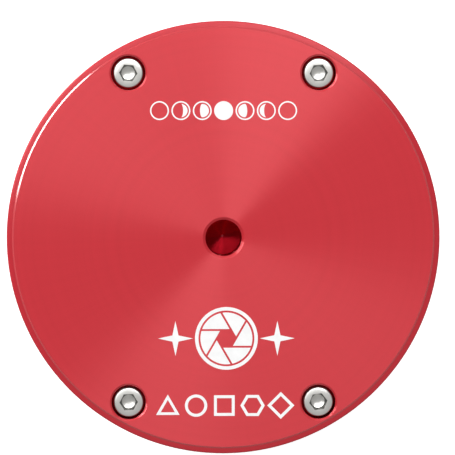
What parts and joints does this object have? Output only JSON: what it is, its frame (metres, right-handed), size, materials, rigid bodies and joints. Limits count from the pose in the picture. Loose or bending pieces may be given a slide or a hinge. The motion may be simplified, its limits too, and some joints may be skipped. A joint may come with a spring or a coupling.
{
  "type": "planetary astronomy camera",
  "caption": "Round red-anodised planetary camera with a flat rear cover, a blind threaded hole in its middle, side sockets, and a black threaded nose with its ring and dust cap.",
  "frame": {"origin": "middle of the dust cap's outer face, which the camera stands on", "axes": "+Z along the optical axis, from the lens side to the rear cover; +X towards the side with the sockets; +Y is up in the picture"},
  "size_m": [0.062, 0.062, 0.043],
  "materials": {
    "red_anodised": "lathe-turned and red anodised",
    "black_anodised": "black anodised, satin",
    "stainless_steel": "bright stainless steel",
    "brass": "machined brass",
    "cap_plastic": "moulded black plastic, fine texture",
    "coated_glass": "anti-reflection coated",
    "seal_rubber": "matt black",
    "circuit_board": "green solder resist on glass-fibre laminate",
    "chip_package": "moulded epoxy or ceramic package",
    "sensor_die": "polished silicon under a colour filter array",
    "thermal_pad": "soft grey-blue gap filler",
    "usb_plastic": "blue moulded insert",
    "jack_plastic": "black moulded connector body",
    "gold_contacts": "gold-plated spring contacts",
    "nickel_can": "drawn metal can"
  },
  "bodies": {
    "camera_body": {"housing": "red_anodised", "rear_cover": "red_anodised", "front_flange": "black_anodised", "window_glass": "coated_glass", "window_oring": "seal_rubber", "window_retainer": "black_anodised", "sensor_gasket": "seal_rubber", "image_sensor": "chip_package", "sensor_die": "sensor_die", "sensor_cover_glass": "coated_glass", "sensor_board": "circuit_board", "main_board": "circuit_board", "processor": "chip_package", "thermal_pad": "thermal_pad", "memory_chip": "chip_package", "usb_controller": "chip_package", "clock_crystal": "nickel_can", "power_inductor_1": "chip_package", "power_inductor_2": "chip_package", "bulk_capacitor_1": "nickel_can", "bulk_capacitor_2": "nickel_can", "stack_socket": "jack_plastic", "stack_plug": "jack_plastic", "usb_shell": "stainless_steel", "usb_insert": "usb_plastic", "guide_port_housing": "jack_plastic", "guide_port_contacts": "gold_contacts", "rear_screw_1": "stainless_steel", "rear_screw_2": "stainless_steel", "rear_screw_3": "stainless_steel", "rear_screw_4": "stainless_steel", "flange_screw_1": "stainless_steel", "flange_screw_2": "stainless_steel", "flange_screw_3": "stainless_steel", "flange_screw_4": "stainless_steel", "sensor_board_screw_1": "stainless_steel", "sensor_board_screw_2": "stainless_steel", "sensor_board_screw_3": "stainless_steel", "sensor_board_screw_4": "stainless_steel", "main_board_screw_1": "stainless_steel", "main_board_screw_2": "stainless_steel", "main_board_screw_3": "stainless_steel", "main_board_screw_4": "stainless_steel", "board_standoff_1": "brass", "board_standoff_2": "brass", "board_standoff_3": "brass", "board_standoff_4": "brass", "sensor_spacer_1": "brass", "sensor_spacer_2": "brass", "sensor_spacer_3": "brass", "sensor_spacer_4": "brass"},
    "extension_ring": {"t2_ring": "black_anodised"},
    "cap": {"dust_cap": "cap_plastic"}
  },
  "joints": [
    {"name": "ring_unscrew", "type": "hinge", "parent": "camera_body", "child": "extension_ring", "pos_m": [0, 0, 0.0044], "axis": [0, 0, -1], "range_deg": [0, 1824]},
    {"name": "cap_pull", "type": "slide", "parent": "extension_ring", "child": "cap", "axis": [0, 0, -1], "range_m": [0, 0.03]}
  ]
}
